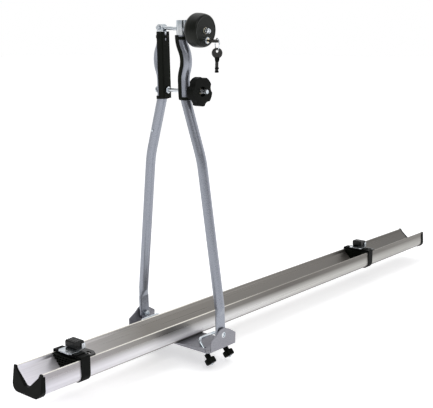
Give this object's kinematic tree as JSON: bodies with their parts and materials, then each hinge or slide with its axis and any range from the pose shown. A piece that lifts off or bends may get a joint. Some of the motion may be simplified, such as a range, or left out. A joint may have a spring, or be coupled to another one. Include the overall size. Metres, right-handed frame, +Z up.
{
  "type": "roof mounted bike carrier",
  "caption": "Car roof carrier for a bicycle: long aluminium wheel rail on a roof-bar bracket, with a fold-down A-frame that clamps the down tube and a lockable knob.",
  "frame": {"origin": "middle of the base bracket's underside, where it rests on the roof bar", "axes": "+X along the wheel rail towards its long end, +Y across the rail away from the knobs, +Z up"},
  "size_m": [1.468, 0.2514, 0.7118],
  "materials": {
    "rail_aluminium": "satin",
    "frame_paint": "satin",
    "bracket_paint": "satin",
    "zinc": "bright",
    "black_plastic": "satin",
    "black_rubber": "matte",
    "strap_webbing": "matte",
    "brass": "satin",
    "key_plastic": "gloss"
  },
  "bodies": {
    "carrier": {"wheel_rail": "rail_aluminium", "end_cap_left": "black_plastic", "end_cap_right": "black_plastic", "base_bracket": "bracket_paint", "rail_screws": "zinc", "rail_nuts": "zinc", "pivot_bolts": "zinc", "pivot_press_nuts": "zinc", "pivot_washers": "zinc"},
    "ubolt_near": {"ubolt_near": "zinc"},
    "ubolt_far": {"ubolt_far": "zinc"},
    "hand_nut_near_left": {"hand_nut_near_left": "black_plastic"},
    "hand_nut_near_right": {"hand_nut_near_right": "black_plastic"},
    "hand_nut_far_left": {"hand_nut_far_left": "black_plastic"},
    "hand_nut_far_right": {"hand_nut_far_right": "black_plastic"},
    "far_arm": {"far_tube": "frame_paint", "far_pad": "black_rubber", "top_clevis": "zinc", "clevis_pin": "zinc", "clamp_bolt": "zinc", "clamp_bolt_nut": "zinc", "tube_rivet": "zinc"},
    "near_arm": {"near_tube": "frame_paint", "near_pad": "black_rubber", "slot_sleeve": "zinc"},
    "swing_bolt": {"swing_bolt": "zinc"},
    "lock_washer": {"lock_washer": "zinc"},
    "lock_knob": {"lock_knob": "black_plastic", "lock_knob_insert": "brass", "dome_nut": "zinc", "lock_cylinder": "zinc"},
    "lock_plug": {"lock_plug": "brass", "lock_key": "key_plastic"},
    "key_ring": {"key_ring": "zinc"},
    "spare_key": {"spare_key": "key_plastic"},
    "clamp_washer": {"clamp_washer": "zinc"},
    "hand_knob": {"hand_knob": "black_plastic", "hand_knob_insert": "brass"},
    "strap_set_left": {"wheel_cradle_left": "black_rubber", "strap_left": "strap_webbing", "buckle_base_left": "black_plastic", "buckle_plate_left": "zinc", "buckle_pin_left": "zinc"},
    "strap_set_right": {"wheel_cradle_right": "black_rubber", "strap_right": "strap_webbing", "buckle_base_right": "black_plastic", "buckle_plate_right": "zinc", "buckle_pin_right": "zinc"},
    "buckle_lever_left": {"buckle_lever_left": "black_plastic"},
    "buckle_lever_right": {"buckle_lever_right": "black_plastic"}
  },
  "joints": [
    {"name": "frame_fold", "type": "hinge", "parent": "carrier", "child": "far_arm", "pos_m": [0.0005, 0.1097, 0.0275], "axis": [0, 1, 0], "range_deg": [0, 87]},
    {"name": "jaw_open", "type": "hinge", "parent": "far_arm", "child": "near_arm", "pos_m": [0.0005, -0.1097, 0.0275], "axis": [0.9995, 0, 0.0314], "range_deg": [0, 3.5]},
    {"name": "clamp_washer_slide", "type": "slide", "parent": "far_arm", "child": "clamp_washer", "axis": [0, -1, 0], "range_m": [0, 0.034]},
    {"name": "hand_knob_turn", "type": "hinge", "parent": "clamp_washer", "child": "hand_knob", "pos_m": [-0.01505, -0.06425, 0.52226], "axis": [0, -1, 0], "continuous": true},
    {"name": "swing_bolt_lift", "type": "hinge", "parent": "far_arm", "child": "swing_bolt", "pos_m": [-0.01893, 0.0268, 0.6458], "axis": [-0.9995, 0, -0.0314], "range_deg": [0, 100]},
    {"name": "lock_washer_slide", "type": "slide", "parent": "swing_bolt", "child": "lock_washer", "axis": [0.0019, -0.9981, -0.061], "range_m": [0, 0.041]},
    {"name": "lock_knob_turn", "type": "hinge", "parent": "lock_washer", "child": "lock_knob", "pos_m": [-0.01876, -0.06019, 0.64048], "axis": [0.0019, -0.9981, -0.061], "continuous": true},
    {"name": "key_turn", "type": "hinge", "parent": "lock_knob", "child": "lock_plug", "pos_m": [-0.01814, -0.08853, 0.62072], "axis": [0.0019, -0.9981, -0.061], "range_deg": [0, 90]},
    {"name": "ring_swing", "type": "hinge", "parent": "lock_plug", "child": "key_ring", "pos_m": [-0.01809, -0.11329, 0.61921], "axis": [-0.0314, -0.061, 0.9976], "range_deg": [-15, 15]},
    {"name": "spare_key_swing", "type": "hinge", "parent": "key_ring", "child": "spare_key", "pos_m": [-0.02243, -0.1207, 0.60241], "axis": [-0.4981, -0.8644, -0.0685], "range_deg": [-25, 25]},
    {"name": "ubolt_near_swing", "type": "hinge", "parent": "carrier", "child": "ubolt_near", "pos_m": [0, -0.088, 0.00125], "axis": [1, 0, 0], "range_deg": [0, 48]},
    {"name": "ubolt_far_swing", "type": "hinge", "parent": "carrier", "child": "ubolt_far", "pos_m": [0, 0.088, 0.00125], "axis": [1, 0, 0], "range_deg": [0, 48]},
    {"name": "hand_nut_near_left_turn", "type": "hinge", "parent": "ubolt_near", "child": "hand_nut_near_left", "pos_m": [-0.029, -0.10728, -0.02173], "axis": [0, -0.6428, -0.766], "continuous": true},
    {"name": "hand_nut_near_right_turn", "type": "hinge", "parent": "ubolt_near", "child": "hand_nut_near_right", "pos_m": [0.029, -0.10728, -0.02173], "axis": [0, -0.6428, -0.766], "continuous": true},
    {"name": "hand_nut_far_left_turn", "type": "hinge", "parent": "ubolt_far", "child": "hand_nut_far_left", "pos_m": [-0.029, 0.08382, -0.02846], "axis": [0, -0.1392, -0.9903], "continuous": true},
    {"name": "hand_nut_far_right_turn", "type": "hinge", "parent": "ubolt_far", "child": "hand_nut_far_right", "pos_m": [0.029, 0.08382, -0.02846], "axis": [0, -0.1392, -0.9903], "continuous": true},
    {"name": "strap_set_left_slide", "type": "slide", "parent": "carrier", "child": "strap_set_left", "axis": [1, 0, 0], "range_m": [-0.06, 0.2]},
    {"name": "strap_set_right_slide", "type": "slide", "parent": "carrier", "child": "strap_set_right", "axis": [1, 0, 0], "range_m": [-0.04, 0.25]},
    {"name": "buckle_left_open", "type": "hinge", "parent": "strap_set_left", "child": "buckle_lever_left", "pos_m": [-0.2812, 0, 0.0606], "axis": [0, 1, 0], "range_deg": [0, 80]},
    {"name": "buckle_right_open", "type": "hinge", "parent": "strap_set_right", "child": "buckle_lever_right", "pos_m": [0.7558, 0, 0.0606], "axis": [0, 1, 0], "range_deg": [0, 80]}
  ],
  "couplings": [
    {"joint": "clamp_washer_slide", "follows": "jaw_open", "m_per_rad": 0.498},
    {"joint": "lock_washer_slide", "follows": "jaw_open", "m_per_rad": 0.62}
  ]
}
